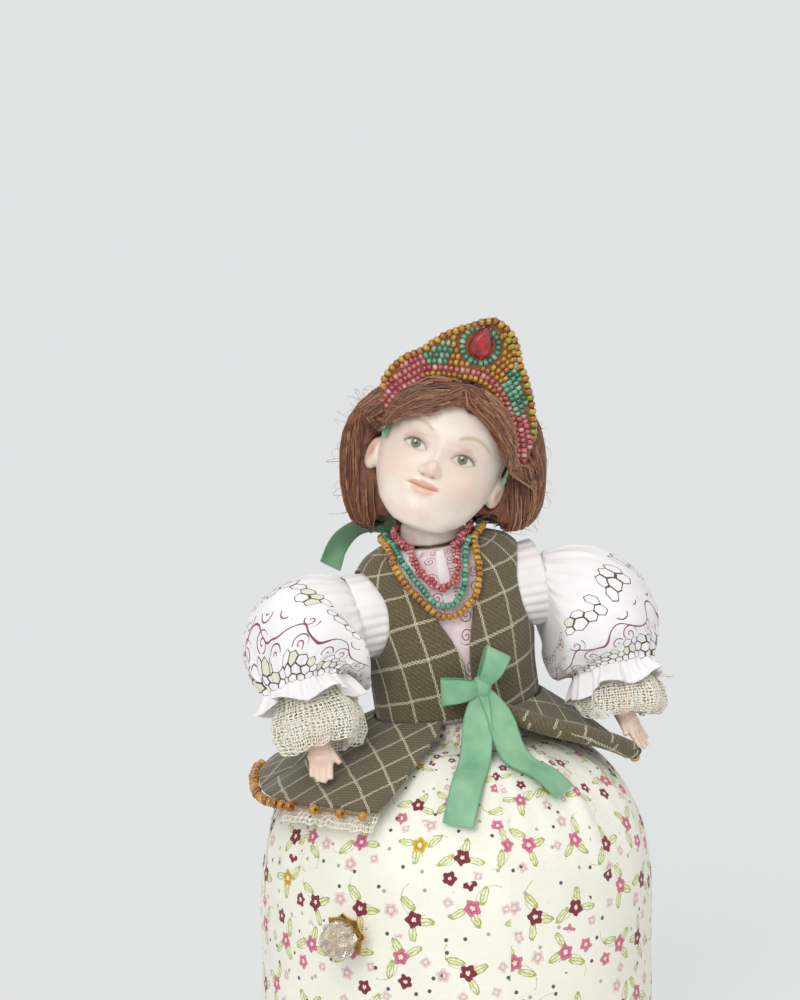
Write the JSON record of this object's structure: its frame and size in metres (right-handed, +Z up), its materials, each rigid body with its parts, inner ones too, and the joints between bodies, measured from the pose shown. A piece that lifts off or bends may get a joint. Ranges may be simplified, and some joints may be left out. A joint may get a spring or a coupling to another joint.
{
  "type": "pincushion doll",
  "caption": "Porcelain half doll in folk dress with a beaded crown, fixed on a drum-shaped stuffed skirt that holds pins and needles.",
  "frame": {"origin": "centre of the round felt base, on the surface it stands on", "axes": "+Z up; the doll's front looks towards -Y, so -Y is forward; +X is at the viewer's right as one faces the doll"},
  "size_m": [0.1356, 0.1254, 0.245],
  "materials": {
    "felt": "natural wool felt",
    "card": "grey-brown mill board",
    "filling": "loose fibre filling",
    "floral_cotton": "cream cotton with a small printed flower pattern",
    "wood": "plain beech dowel",
    "calico": "unbleached calico",
    "blouse_cotton": "pale lilac-pink cotton with plum scroll embroidery",
    "twill": "olive-brown twill with a cream windowpane of stitches",
    "lace": "cream cotton crochet lace",
    "white_cotton": "white cotton with plum embroidery",
    "porcelain": "matt bisque porcelain, painted",
    "mohair": "auburn mohair",
    "satin": "green satin ribbon",
    "pink_glass": "lined pink glass seed beads",
    "teal_glass": "teal glass seed beads",
    "amber_glass": "amber glass beads",
    "red_glass": "faceted red glass",
    "clear_glass": "faceted clear glass with a smoky tint",
    "gilt": "gilt stamped brass",
    "steel": "bright nickelled steel"
  },
  "bodies": {
    "skirt_and_body": {"base_board": "card", "base_felt": "felt", "blouse": "blouse_cotton", "cushion_stuffing": "filling", "hem_beads_left": "amber_glass", "hem_beads_right": "amber_glass", "neck": "porcelain", "neck_ribbon": "satin", "necklace_amber": "amber_glass", "necklace_green": "teal_glass", "necklace_pink": "pink_glass", "peplum_back": "twill", "peplum_lace": "lace", "peplum_left": "twill", "peplum_right": "twill", "skirt_cover": "floral_cotton", "support_dowel": "wood", "torso": "calico", "vest_back": "twill", "vest_left_front": "twill", "vest_right_front": "twill", "waist_bow": "satin"},
    "head_group": {"crown_amber_beads": "amber_glass", "crown_amber_lower_row": "amber_glass", "crown_backing": "felt", "crown_green_beads_left": "teal_glass", "crown_green_beads_right": "teal_glass", "crown_green_ring": "teal_glass", "crown_pink_beads_left": "pink_glass", "crown_pink_beads_right": "pink_glass", "crown_pink_row": "pink_glass", "crown_teardrop": "red_glass", "crown_tie_left": "satin", "crown_tie_right": "satin", "head": "porcelain", "wig": "mohair"},
    "right_arm": {"arm_left": "calico", "sleeve_left": "white_cotton", "lace_cuff_left": "lace", "hand_left": "porcelain"},
    "left_arm": {"arm_right": "calico", "sleeve_right": "white_cotton", "lace_cuff_right": "lace", "hand_right": "porcelain"},
    "pin": {"pin_needle": "steel", "pin_cap": "gilt", "pin_crystal": "clear_glass"}
  },
  "joints": [
    {"name": "head_turn", "type": "hinge", "parent": "skirt_and_body", "child": "head_group", "pos_m": [-0.0077, 0.001, 0.184], "axis": [0, 0, 1], "range_deg": [-20, 20]},
    {"name": "right_arm_raise", "type": "hinge", "parent": "skirt_and_body", "child": "right_arm", "pos_m": [-0.03076, -0.001, 0.14833], "axis": [-0.9893, 0, -0.1461], "range_deg": [0, 40]},
    {"name": "left_arm_raise", "type": "hinge", "parent": "skirt_and_body", "child": "left_arm", "pos_m": [0.02068, -0.001, 0.15593], "axis": [-0.9893, 0, -0.1461], "range_deg": [0, 40]},
    {"name": "pin_slide", "type": "slide", "parent": "skirt_and_body", "child": "pin", "axis": [-0.7036, -0.6795, -0.2079], "range_m": [0, 0.045]}
  ]
}
